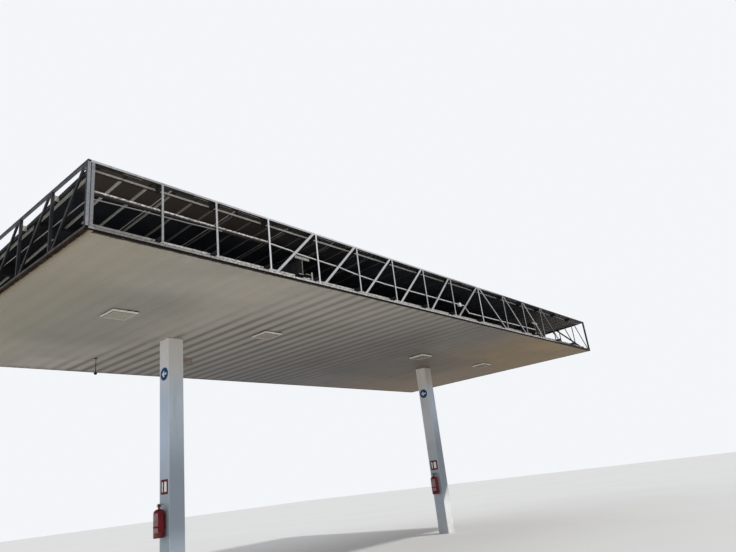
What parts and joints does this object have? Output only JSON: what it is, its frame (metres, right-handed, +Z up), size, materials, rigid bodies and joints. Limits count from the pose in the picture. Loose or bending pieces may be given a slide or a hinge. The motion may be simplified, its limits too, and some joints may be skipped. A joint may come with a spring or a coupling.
{
  "type": "filling station canopy",
  "caption": "Flat canopy on two clad columns: panned soffit, ribbed sloping roof, open steel fascia frame on every side, to shelter vehicles at the pumps",
  "frame": {"origin": "centre of the left column's base plate, on its underside", "axes": "+X along the front from the left column to the right one, +Y to the back, +Z up"},
  "size_m": [14.97, 6.66, 5.2959],
  "materials": {
    "casing_sheet": "off-white paint, dusty, with dents and rust spots at the foot",
    "soffit_sheet": "off-white prepainted pans, semi-matte",
    "edge_trim": "dark brown, rusty",
    "roof_sheet": "dark underside, weathered galvanised top",
    "galvanised_sheet": "dull galvanised",
    "frame_steel": "weathered grey primer with rust and dirt",
    "beam_steel": "dark primer with rust",
    "light_housing": "off-white housing with a pale lens",
    "conduit_grey": "light grey conduit",
    "dark_fitting": "black dome and rod",
    "extinguisher_red": "glossy red paint"
  },
  "bodies": {
    "root": {"left_base_plate": "beam_steel", "right_base_plate": "beam_steel", "left_post": "beam_steel", "right_post": "beam_steel", "left_casing": "casing_sheet", "right_casing": "casing_sheet", "left_cross_beam": "beam_steel", "right_cross_beam": "beam_steel", "front_roof_beam": "beam_steel", "middle_roof_beam": "beam_steel", "back_roof_beam": "beam_steel", "front_fascia_frame": "frame_steel", "back_fascia_frame": "frame_steel", "left_fascia_frame": "frame_steel", "right_fascia_frame": "frame_steel", "front_arms": "frame_steel", "back_arms": "frame_steel", "left_arms": "frame_steel", "right_arms": "frame_steel", "front_eave_rail": "frame_steel", "back_eave_rail": "frame_steel", "low_rails": "frame_steel", "left_side_channel": "beam_steel", "right_side_channel": "beam_steel", "roof_sheets_left": "roof_sheet", "roof_sheets_middle": "roof_sheet", "roof_sheets_right": "roof_sheet", "front_flashing": "galvanised_sheet", "back_gutter": "galvanised_sheet", "soffit_left": "soffit_sheet", "soffit_middle": "soffit_sheet", "soffit_right": "soffit_sheet", "soffit_edge_trim": "edge_trim", "front_soffit_rail": "galvanised_sheet", "middle_soffit_rail": "galvanised_sheet", "back_soffit_rail": "galvanised_sheet", "soffit_light_1": "light_housing", "soffit_light_2": "light_housing", "soffit_light_3": "light_housing", "soffit_light_4": "light_housing", "conduit": "conduit_grey", "junction_box": "conduit_grey", "drop_rod": "dark_fitting", "left_extinguisher": "extinguisher_red", "right_extinguisher": "extinguisher_red"}
  },
  "joints": []
}
